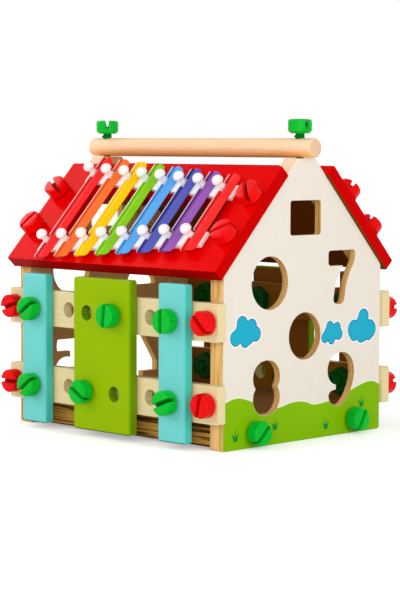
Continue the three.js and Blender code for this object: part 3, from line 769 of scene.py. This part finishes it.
def moulded_plastic(name, light, dark, recess_shade_colour, rough, subsurface):
    """Glossy moulded plastic with slight unevenness and soft flow marks. Down in a bolt's slot
    and on its shank, where the mesh says so, it is darker with painted shade, and duller."""
    finish = Finish.material(name)
    cloudy = finish.noise(PLASTIC_PATCHES, detail=2)
    fine = finish.noise(PLASTIC_GRAIN, detail=1)
    colour = finish.mix(cloudy.around(*PLASTIC_MIX), light, dark)
    rough = fine.around(rough, PLASTIC_ROUGH_REACH)
    if recess_shade_colour:
        depth = finish.node("ShaderNodeAttribute", {"attribute_name": RECESS_SHADE}, output="Fac")
        # Painted shade down in the slot and on the shank
        colour = finish.mix(depth * RECESS_SHADE_SHARE, colour, recess_shade_colour)
        rough = rough + depth * RECESS_ROUGHNESS
    normal = finish.bump(cloudy + fine * FLOW_SHARE, PLASTIC_BUMP)
    return finish.surface(
        colour, rough, normal, specular=PLASTIC_SPECULAR, subsurface=subsurface,
        subsurface_scale=SUBSURFACE_SCALE, subsurface_radius=(1, 1, 1))


def bar_enamel(name, node, left, right, groove_shade):
    """Glossy enamel on a pressed bar with painted light and shade: a pale line of painted
    highlight along the raised left rim, a dark line of painted shade in the valley beside it,
    as strong as groove_shade says, then the two flat sides of the ridge, the left painted
    darker as shade and the right lighter as light."""
    finish = Finish.material(name)
    low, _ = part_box(node)
    x, _, _ = finish.place()
    across = x - low.x / MM
    peel = finish.noise(ENAMEL_PEEL, detail=1)
    cloudy = finish.noise(ENAMEL_PATCHES, detail=2)
    ridge = [BAR_RIDGE / MM + step for step in RIDGE_STEP]
    # Painted light and shade: the left side of the ridge darker, the right side lighter
    colour = finish.mix(across.rise(*ridge), left, right)
    colour = finish.mix(cloudy.around(*ENAMEL_MIX), colour, left)
    valley = across.rise(*GROOVE_START) * (1 - across.rise(*GROOVE_END))
    # Painted shade in the valley beside the rim
    colour = finish.mix(valley * groove_shade, colour, darker(left, GROOVE_SHADE_SHARE))
    # Painted highlight: a pale glint along the left rim
    colour = finish.mix((1 - across.rise(*GLINT_STEP)) * GLINT_SHARE, colour, BAR_GLINT)
    rough = peel.around(*ENAMEL_ROUGH)
    normal = finish.bump(peel, ENAMEL_BUMP)
    return finish.surface(colour, rough, normal, specular=ENAMEL_SPECULAR)


# Surfaces

def quarter_turn(steps):
    """Angles from 0 to a right angle."""
    return np.linspace(0, math.pi / 2, steps)


def whole_turn(steps):
    """Angles once around, as one row."""
    return np.linspace(0, 2 * math.pi, steps, endpoint=False)[None]


def grid_faces(rows, columns):
    """Two triangles between each four neighbours of a grid of points, row by row. The
    last column joins the first."""
    row, column = np.meshgrid(np.arange(rows - 1), np.arange(columns), indexing="ij")
    after = (column + 1) % columns
    a, b = row * columns + column, row * columns + after
    c, d = a + columns, b + columns
    first = np.stack([a, b, d], -1).reshape(-1, 3)
    second = np.stack([a, d, c], -1).reshape(-1, 3)
    return np.concatenate([first, second])


def shell(points):
    """A grid of points (rows, columns, 3) whose rows are loops, as points and triangles.
    Rows at the ends that shrink to one point close it."""
    rows, columns, _ = points.shape
    return points.reshape(-1, 3), grid_faces(rows, columns)


def joined(shells):
    """Several closed shells as one set of points and triangles."""
    points, faces, count = [], [], 0
    for part, triangles in shells:
        points.append(part)
        faces.append(triangles + count)
        count += len(part)
    return np.concatenate(points), np.concatenate(faces)


def tidy_shell(points, faces):
    """Points that coincide become one, triangles without area go, faces point outwards."""
    keys = np.round(points / WELD).astype(np.int64)
    _, first, where = np.unique(keys, axis=0, return_index=True, return_inverse=True)
    points, faces = points[first], where.reshape(-1)[faces]
    a, b, c = faces.T
    faces = faces[(a != b) & (b != c) & (c != a)]
    corners = points[faces]
    volume = np.einsum("ij,ij->i", corners[:, 0], np.cross(corners[:, 1], corners[:, 2])).sum()
    return points, faces if volume > 0 else faces[:, ::-1]


def piece(name, shells, material, body, nodes, sharp=SHARP):
    """A finished piece: its mesh in the frame's own place, its material and body. The CAD
    nodes it stands for are hidden.
    """
    points, faces = joined([tidy_shell(*part) for part in shells])
    mesh = bpy.data.meshes.new(name)
    mesh.from_pydata(points.tolist(), [], faces.tolist())
    mesh.polygons.foreach_set("use_smooth", np.ones(len(faces), bool))
    mesh.set_sharp_from_angle(angle=math.radians(sharp))
    mesh.materials.append(material)
    mesh.update()
    made = bpy.data.objects.new(name, mesh)
    bpy.context.scene.collection.objects.link(made)
    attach(made, body)
    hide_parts(*nodes)
    return made


def mesh_points(mesh):
    """A mesh's points, one row each."""
    flat = np.zeros(len(mesh.vertices) * 3, np.float32)
    mesh.vertices.foreach_get("co", flat)
    return flat.reshape(-1, 3).astype(float)


def node_points(name):
    """The corners of a CAD node's mesh, in metres."""
    return mesh_points(frame["nodes"][name].data)


def placed(points, origin, right, up, out):
    """Local points as world points: across, along and out of a plane through an origin."""
    return origin + points[..., :1] * right + points[..., 1:2] * up + points[..., 2:] * out


def head_profile(radius, height):
    """The head's half section from the middle of its seat to the middle of its top:
    a flat seat, a chamfer, an upright side, a round and a very shallow dome."""
    seat = [(share * (radius - HEAD_CHAMFER), 0.0) for share in SEAT_SHARES]
    side = [(radius, HEAD_CHAMFER), (radius, HEAD_CHAMFER + HEAD_RING)]
    side += [(radius, height - HEAD_ROUND - share * HEAD_SIDE) for share in SIDE_SHARES]
    inner = radius - HEAD_ROUND
    rounded = [(inner + HEAD_ROUND * math.cos(turn),
                height - HEAD_DOME - HEAD_ROUND + HEAD_ROUND * math.sin(turn))
               for turn in quarter_turn(HEAD_ROUND_STEPS)[1:]]
    dome = [(inner * share, height - HEAD_DOME * share ** 2) for share in DOME_SHARES]
    return np.array(seat + side + rounded + dome)


def head_shell(radius, height):
    """A slotted head. A turned profile is cut into slices parallel to the slot: at a
    distance x from the axis a profile point of radius r is at y = root(r^2 - x^2), and
    points inside that distance slide along the profile to r = x. Over the slot every
    slice is capped at a height that falls from the lip to the floor."""
    profile = head_profile(radius, height)
    widest = int(np.argmax(profile[:, 0] > radius - WELD))
    seat, crown = profile[:widest + 1], profile[widest:][::-1]
    slot = np.array([SLOT_TOP / 2 + SLOT_LIP, SLOT_TOP / 2 + SLOT_LIP_BEND, SLOT_TOP / 2,
                     SLOT_FLOOR / 2 + SLOT_FOOT_OUT, SLOT_FLOOR / 2 - SLOT_FOOT_IN, 0])
    floor = height - SLOT_DEPTH
    caps = np.array([height, height - SLOT_LIP_BEND, height - SLOT_LIP,
                     floor + SLOT_FOOT_HEIGHT, floor, floor])
    turns = np.linspace(math.asin((slot[0] + SLOT_MARGIN) / radius), math.pi / 2, HEAD_SLICES)
    outer = radius * np.sin(turns)
    uncapped = np.full(HEAD_SLICES, height)
    x = np.concatenate([-outer[::-1], -slot, slot[-2::-1], outer])
    cap = np.concatenate([uncapped, caps, caps[-2::-1], uncapped])
    reach, level = profile[:, 0][None], profile[:, 1][None]
    distance = np.abs(x)[:, None]
    inside = reach < distance
    low = np.interp(distance, seat[:, 0], seat[:, 1])
    high = np.interp(distance, crown[:, 0], crown[:, 1])
    upper = np.arange(len(profile))[None] > widest
    z = np.where(inside, np.where(upper, high, low), level)
    z = np.minimum(z, cap[:, None])
    y = np.sqrt(np.maximum(reach ** 2 - distance ** 2, 0))
    across = np.broadcast_to(x[:, None], y.shape)
    front = np.stack([across, y, z], -1)
    back = np.stack([across, -y, z], -1)[:, -2:0:-1]
    return shell(np.concatenate([front, back], 1))


def shank_shell(length, neck, waist):
    """A threaded shank: the radius at a turn and a depth is the core's, and a ridge that
    climbs one pitch a turn, its crest higher on a bare neck, fading at both ends. A waist
    keeps it slim around one depth."""
    depth = np.linspace(0, length, int(length / SHANK_STEP))[:, None]
    turn = whole_turn(ROUND_STEPS)
    phase = depth / THREAD_PITCH - turn / (2 * math.pi)
    ridge = (0.5 + 0.5 * np.cos(2 * math.pi * phase)) ** THREAD_POWER
    fade = np.clip((length - depth) / THREAD_RUN_OUT, 0, 1)
    fade = fade * np.clip((depth - THREAD_START) / MM, 0, 1)
    crest = THREAD_CREST + (NECK_CREST - THREAD_CREST) * np.clip((neck - depth) / MM, 0, 1)
    radius = THREAD_CORE + (crest - THREAD_CORE) * ridge * fade
    radius = radius * np.where(depth > length - TIP_LENGTH, TIP_SHARE, 1)
    if waist:
        radius = np.where(abs(depth - waist) < WAIST_PAST, np.minimum(radius, WAIST), radius)
    ring = np.stack([radius * np.cos(turn), radius * np.sin(turn),
                     np.broadcast_to(-depth, radius.shape)], -1)
    middle = np.zeros((1, ring.shape[1], 3))
    top = middle + [0, 0, HEAD_SINK]
    collar = ring[:1] + [0, 0, HEAD_SINK]
    tip = middle + [0, 0, -length]
    return shell(np.concatenate([top, collar, ring, tip]))


def outward_axes(out):
    """Right and up on a plane as seen from outside, for the direction out of it."""
    level = Vector((0, 0, 1)) if abs(out.z) < NEARLY_UPRIGHT else Vector((0, 1, 0))
    up = (level - out * level.dot(out)).normalized()
    return up.cross(out), up


def bolts(finishes):
    """Every slotted bolt, in the place, size and direction that its joint and node give.
    A handle bolt has a bare neck over the dowel and a waist where it leaves it."""
    dowel_low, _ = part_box("handle_dowel")
    for joint in frame["joints"]:
        name = joint["child"]
        out = Vector(joint["axis"]).normalized()
        origin = Vector(joint["pos_m"])
        right, up = outward_axes(out)
        turn = math.radians(SLOT_TURNS.get(name, OTHER_TURN))
        across = right * math.cos(turn) + up * math.sin(turn)
        along = up * math.cos(turn) - right * math.sin(turn)
        neck, waist = 0, 0
        if name.startswith("handle"):
            neck, waist = NECK_LENGTH, origin.z - dowel_low.z
        origin, across, along, out = (np.array(item) for item in (origin, across, along, out))
        offsets = node_points(name) - origin
        levels = offsets @ out
        radius = np.linalg.norm(offsets - levels[:, None] * out, axis=1).max()
        shells = [(placed(points, origin, across, along, out), faces) for points, faces in (
            head_shell(radius, levels.max()), shank_shell(-levels.min(), neck, waist))]
        colour = "red_bolt" if "roof" in name or "rail" in name else "green_bolt"
        made = piece("moulded_" + name, shells, finishes[colour], name, [name])
        mark_recess(made.data, origin, across, out, levels.max())


def mark_recess(mesh, origin, across, out, height):
    """Marks each point of a bolt for painted shade and duller plastic: 1 on the shank and the
    slot's floor, else 0. The slot's floor is where a point is near the middle line and below
    the lip."""
    points = mesh_points(mesh) - origin
    level, aside = points @ out, np.abs(points @ across)
    floor = (aside < SLOT_TOP / 2 - SLOT_LIP / 2) & (level > height - SLOT_DEPTH - SLOT_LIP)
    recess = mesh.attributes.new(RECESS_SHADE, "FLOAT", "POINT")
    shank = level < -HEAD_SINK / 2
    recess.data.foreach_set("value", (floor | shank).astype(np.float32))


class Slope:
    """The front roof's own axes: X along the house, up the slope from the board's lower
    edge, and out of the board's upper face."""

    def __init__(self):
        joint = next(j for j in frame["joints"] if j["child"] == "front_roof_bolt_lower_left")
        self.right = np.array([1.0, 0.0, 0.0])
        self.out = np.array(joint["axis"])
        self.up = np.cross(self.out, self.right)
        board = node_points("front_roof")
        climbs, levels = board @ self.up, board @ self.out
        self.length = climbs.max() - climbs.min()
        self.origin = self.up * climbs.min() + self.out * levels.max()

    def box(self, name):
        """Lowest and highest corner of a CAD node in these axes."""
        local = node_points(name) - self.origin
        local = np.stack([local @ self.right, local @ self.up, local @ self.out], -1)
        return local.min(0), local.max(0)

    def place(self, points):
        """Points in these axes as world points."""
        return placed(points, self.origin, self.right, self.up, self.out)


def bar_height(x, half):
    """Height of a bar's upper face at x from its middle line: a rounded left bend, a rim, a
    pressed valley beside it, a ridge, and a flat side that falls to a rounded right edge."""
    ridge = BAR_RIDGE - half
    valley = BAR_VALLEY_PLACE - half
    edge = half - BAR_SHEET / 2
    places = [-half, BAR_RIM - half, valley - BAR_VALLEY_LEFT, valley + BAR_VALLEY_RIGHT,
              ridge - BAR_RIDGE_HALF, ridge + BAR_RIDGE_HALF, edge]
    levels = [0, 0, -BAR_VALLEY, -BAR_VALLEY, BAR_CROWN, BAR_CROWN, -BAR_FALL]
    flat = np.interp(x, places, levels)
    past = np.clip(BAR_BEND - half - x, 0, BAR_BEND)
    bend = BAR_BEND - np.sqrt(np.maximum(BAR_BEND ** 2 - past ** 2, 0))
    return flat - bend


def bar_shell(low, high, studs):
    """A pressed bar. Its section runs up the slope, clamped between a left and a right
    edge that follow the rounded corners and the two notches for the studs. The right edge
    is the sheet's own rounded edge, the left one is bent down."""
    half = (high[0] - low[0] - BAR_SET_IN) / 2
    middle = (high[0] + low[0] - BAR_SET_IN) / 2
    climbs = [np.linspace(low[1] + BAR_CORNER_RIGHT, high[1] - BAR_CORNER_RIGHT, BAR_ROWS)]
    for corner in (BAR_CORNER_RIGHT, BAR_CORNER_LEFT):
        moved = corner * (1 - np.cos(quarter_turn(CORNER_STEPS)))
        climbs += [low[1] + moved, high[1] - moved]
    notches = [(studs[0] - NOTCH_HALF, studs[0] + NOTCH_HALF + NOTCH_PAST),
               (studs[1] - NOTCH_HALF - NOTCH_PAST, studs[1] + NOTCH_HALF)]
    hair = BAR_HAIR
    for start, end in notches:
        climbs.append(np.array([start - hair, start, (start + end) / 2, end, end + hair]))
    climb = np.unique(np.concatenate(climbs))
    to_end = np.minimum(climb - low[1], high[1] - climb)

    def pull(corner):
        """How far a rounded corner moves the edge in, row by row."""
        short = corner - np.clip(to_end, 0, corner)
        return corner - np.sqrt(np.maximum(corner ** 2 - short ** 2, 0))

    notched = np.zeros(len(climb), bool)
    for start, end in notches:
        notched |= (climb > start - hair / 2) & (climb < end + hair / 2)
    left = np.where(notched, NOTCH_DEPTH, pull(BAR_CORNER_LEFT)) - half
    right = half - pull(BAR_CORNER_RIGHT)
    x = half * np.sin(np.linspace(-math.pi / 2, math.pi / 2, BAR_STEPS))
    x = np.clip(x[None], left[:, None], right[:, None])
    bottom = low[2] - high[2] + BAR_CROWN
    rounding = BAR_SHEET / 2
    past = np.clip(x - right[:, None] + rounding, 0, rounding)
    rounded = rounding - np.sqrt(np.maximum(rounding ** 2 - past ** 2, 0))
    top = bar_height(x, half) - rounded
    skirt = np.clip((BAR_SHEET - (x - left[:, None])) / BAR_SKIRT_BLEND, 0, 1)
    under = top + 2 * rounded - BAR_SHEET
    under = under + (np.minimum(under, bottom) - under) * skirt * ~notched[:, None]
    rows = np.broadcast_to(climb[:, None], x.shape)
    level = high[2] - BAR_CROWN
    upper = np.stack([x + middle, rows, top + level], -1)
    lower = np.stack([x + middle, rows, under + level], -1)[:, ::-1]
    loops = np.concatenate([upper, lower], 1)
    ends = [np.broadcast_to(loops[k].mean(0), loops[k].shape)[None] for k in (0, -1)]
    return shell(np.concatenate([ends[0], loops, ends[1]]))


def stud_shell(x, climb, foot):
    """A stud: a neck that tapers from its foot, then a mushroom head turned on one axis."""
    neck = [(0, 0), (STUD_FOOT, 0), (STUD_FOOT * STUD_TAPER, STUD_NECK_HEIGHT * STUD_TAPER_HEIGHT),
            (STUD_NECK, STUD_NECK_HEIGHT)]
    rim = STUD_NECK_HEIGHT + STUD_HEAD_HEIGHT * STUD_RIM
    head = [(STUD_HEAD * math.cos(turn),
             rim + STUD_HEAD_HEIGHT * (1 - STUD_RIM if turn > 0 else STUD_RIM) * math.sin(turn))
            for turn in np.linspace(-STUD_UNDERSIDE, math.pi / 2, STUD_STEPS)]
    profile = np.array(neck + head)
    turn = whole_turn(ROUND_STEPS)
    radius, level = profile[:, :1], profile[:, 1:]
    return shell(np.stack([x + radius * np.cos(turn), climb + radius * np.sin(turn),
                           np.broadcast_to(foot + level, (len(profile), turn.shape[1]))], -1))


def slab_shell(corners, low, high, rounding):
    """A flat slab over a four-sided outline: loops at its lower face, its two edges and
    its upper face, each moved in towards the middle where the edge is rounded."""
    corners = np.array(corners)
    following = np.roll(corners, -1, 0)
    share = np.linspace(0, 1, COMB_SIDE_STEPS, endpoint=False)[:, None]
    outline = np.concatenate([a + (b - a) * share for a, b in zip(corners, following)])
    middle = outline.mean(0)
    towards = middle - outline
    towards = towards / np.linalg.norm(towards, axis=1, keepdims=True)
    rows = [(None, low), (rounding, low), (0, low + rounding), (0, high - rounding),
            (rounding * COMB_ROUND_BEND, high - rounding * COMB_ROUND_BEND), (rounding, high),
            (None, high)]
    loops = [np.column_stack([
        np.broadcast_to(middle, outline.shape) if move is None else outline + towards * move,
        np.full(len(outline), level)]) for move, level in rows]
    return shell(np.stack(loops))


def xylophone(finishes):
    """Eight pressed bars over two combs, whose studs stand in the bars' notches."""
    slope = Slope()
    names = sorted(n for n in frame["nodes"] if n.startswith("xylophone_bar_"))
    boxes = {name: slope.box(name) for name in names}
    last = len(names) - 1
    rows = {"lower": [], "upper": []}
    for index, name in enumerate(names):
        low, high = boxes[name]
        along = index / last
        reach = {"lower": LOW_STUDS[0] + (LOW_STUDS[1] - LOW_STUDS[0]) * along,
                 "upper": slope.length - HIGH_STUDS[0] - (HIGH_STUDS[1] - HIGH_STUDS[0]) * along}
        for row, climb in reach.items():
            rows[row].append((low[0] + STUD_INSET, climb))
        points, faces = bar_shell(low, high, list(reach.values()))
        slot = "bar_%d" % (index + 1)
        piece("pressed_" + name, [(slope.place(points), faces)], finishes[slot], "house",
              [name], sharp=BAR_SHARP)
    for row, studs in rows.items():
        name = "xylophone_comb_" + row
        low, high = slope.box(name)
        (first_x, first), (last_x, final) = studs[0], studs[-1]
        rise = (final - first) / (last_x - first_x)
        left, right = low[0], high[0] - COMB_SET_IN
        at = [first + rise * (x - first_x) for x in (left, right)]
        top = boxes[names[0]][0][2] - BAR_OVER_COMB
        corners = [(left, at[0] - COMB_BELOW), (right, at[1] - COMB_BELOW),
                   (right, at[1] + COMB_ABOVE), (left, at[0] + COMB_ABOVE)]
        shells = [slab_shell(corners, low[2], top, COMB_ROUND)]
        shells += [stud_shell(x, climb, top - STUD_SINK) for x, climb in studs]
        shells = [(slope.place(points), faces) for points, faces in shells]
        piece("moulded_" + name, shells, finishes["comb_plastic"], "house", [name])


def handle(finishes):
    """A turned dowel: a straight round rod along X whose ends are rounded over."""
    low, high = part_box("handle_dowel")
    radius = (high.y - low.y) / 2
    length = high.x - low.x
    flat = radius - DOWEL_ROUND
    start = [(flat * share, -DOWEL_BULGE * (1 - share)) for share in (0, 0.5)]
    start += [(flat + DOWEL_ROUND * math.sin(turn), DOWEL_ROUND * (1 - math.cos(turn)))
              for turn in quarter_turn(CORNER_STEPS)]
    stations = np.linspace(DOWEL_ROUND * 2, length - DOWEL_ROUND * 2, DOWEL_STATIONS)
    middle = [(radius, station) for station in stations]
    end = [(reach, length - along) for reach, along in start[::-1]]
    profile = np.array(start + middle + end)
    turn = whole_turn(DOWEL_STEPS)
    reach, along = profile[:, :1], profile[:, 1:]
    points = np.stack([np.broadcast_to(low.x + along, (len(profile), turn.shape[1])),
                       reach * np.cos(turn), (low.z + high.z) / 2 + reach * np.sin(turn)], -1)
    piece("turned_handle_dowel", [shell(points)], finishes["dowel_wood"], "house",
          ["handle_dowel"])


def dress(finishes):
    """CAD nodes whose shape is right get the finish of their record slot."""
    wanted = {
        "gable_": "gable_paint", "base_board": "birch_ply", "_rail_": "bare_wood",
        "_post_": "turquoise_paint", "_door": "leaf_paint", "_roof": "roof_paint",
    }
    for name, node in frame["nodes"].items():
        if "bolt" in name or name.startswith("xylophone") or name.startswith("handle"):
            continue
        slot = next(slot for part, slot in wanted.items() if part in name)
        node.data.materials.clear()
        node.data.materials.append(finishes[slot])


def all_finishes():
    """One finish for each slot of the record."""
    finishes = {
        "gable_paint": gable_paint(), "birch_ply": plywood(), "bare_wood": rail_wood()}
    for slot, paint in PAINTS.items():
        finishes[slot] = painted_wood(slot, *paint)
    finishes["dowel_wood"] = handle_wood()
    for slot, plastic in PLASTICS.items():
        finishes[slot] = moulded_plastic(slot, *plastic)
    for number, (left, right, groove_shade) in enumerate(BAR_TINTS, 1):
        slot = "bar_%d" % number
        finishes[slot] = bar_enamel(
            slot, "xylophone_" + slot, tint(*left), tint(*right), groove_shade)
    return finishes


# Studio

def camera():
    """The photograph's camera: direction from its azimuth and elevation, then its roll."""
    ahead = Vector((-math.sin(AZIMUTH) * math.cos(ELEVATION),
                    math.cos(AZIMUTH) * math.cos(ELEVATION), -math.sin(ELEVATION)))
    right = Vector((math.cos(AZIMUTH), math.sin(AZIMUTH), 0))
    up = right.cross(ahead)
    tilted_right = right * math.cos(ROLL) + up * math.sin(ROLL)
    tilted_up = up * math.cos(ROLL) - right * math.sin(ROLL)
    data = bpy.data.cameras.new("camera")
    data.sensor_fit = "VERTICAL"
    data.sensor_height = SENSOR
    data.lens = FOCAL_PIXELS * SENSOR / PICTURE_HEIGHT
    data.clip_end = CLIP_END
    made = bpy.data.objects.new("camera", data)
    bpy.context.scene.collection.objects.link(made)
    turned = Matrix((tilted_right, tilted_up, -ahead)).transposed().to_4x4()
    made.matrix_world = Matrix.Translation(CAMERA_PLACE) @ turned
    bpy.context.scene.camera = made


def lamp(name, place, aim, size, power):
    """A soft square lamp that looks at a point."""
    data = bpy.data.lights.new(name, "AREA")
    data.size = size
    data.energy = power
    made = bpy.data.objects.new(name, data)
    bpy.context.scene.collection.objects.link(made)
    made.location = place
    made.rotation_euler = (Vector(aim) - Vector(place)).to_track_quat("-Z", "Y").to_euler()
    made.visible_camera = False


def background_share(finish):
    """1 where the camera, a reflection or a ray through glass sees the surface, else 0."""
    rays = [finish.node("ShaderNodeLightPath", output="Is %s Ray" % kind)
            for kind in ("Camera", "Glossy", "Transmission")]
    return rays[0] + rays[1] + rays[2]


def world(strength):
    """White where it is seen or reflected, and an even soft light for everything else."""
    finish = Finish(bpy.data.worlds.new("studio"))
    light = background_share(finish) * (1 - strength) + strength
    shader = finish.node("ShaderNodeBackground", None, {"Color": WHITE, "Strength": light})
    bpy.context.scene.world = finish.end(shader, "World")


def floor():
    """A wide pale floor just under the house. Where it is seen it is lifted to white, less
    so near the house, whose shadow it keeps."""
    finish = Finish.material("floor")
    x, y, _ = finish.place()
    away = ((x * x + y * y).root() * MM).rise(*SHADOW_REACH)
    near, far = FLOOR_LIFT
    lift = background_share(finish) * (near + away * (far - near))
    values = {"Base Color": FLOOR_SHADE, "Roughness": FLOOR_ROUGH, "Specular IOR Level": 0,
              "Emission Color": WHITE, "Emission Strength": lift}
    half = FLOOR_HALF
    mesh = bpy.data.meshes.new("floor")
    mesh.from_pydata([(-half, -half, 0), (half, -half, 0), (half, half, 0), (-half, half, 0)],
                     [], [(0, 1, 2, 3)])
    mesh.materials.append(
        finish.end(finish.node("ShaderNodeBsdfPrincipled", None, values), "Material"))
    made = bpy.data.objects.new("floor", mesh)
    bpy.context.scene.collection.objects.link(made)


def studio():
    """Camera, world, lamps and floor, and colours as they are."""
    camera()
    world(WORLD_STRENGTH)
    for settings in LAMPS:
        lamp(*settings)
    floor()
    bpy.context.scene.view_settings.view_transform = "Standard"


finishes = all_finishes()
dress(finishes)
bolts(finishes)
xylophone(finishes)
handle(finishes)
studio()
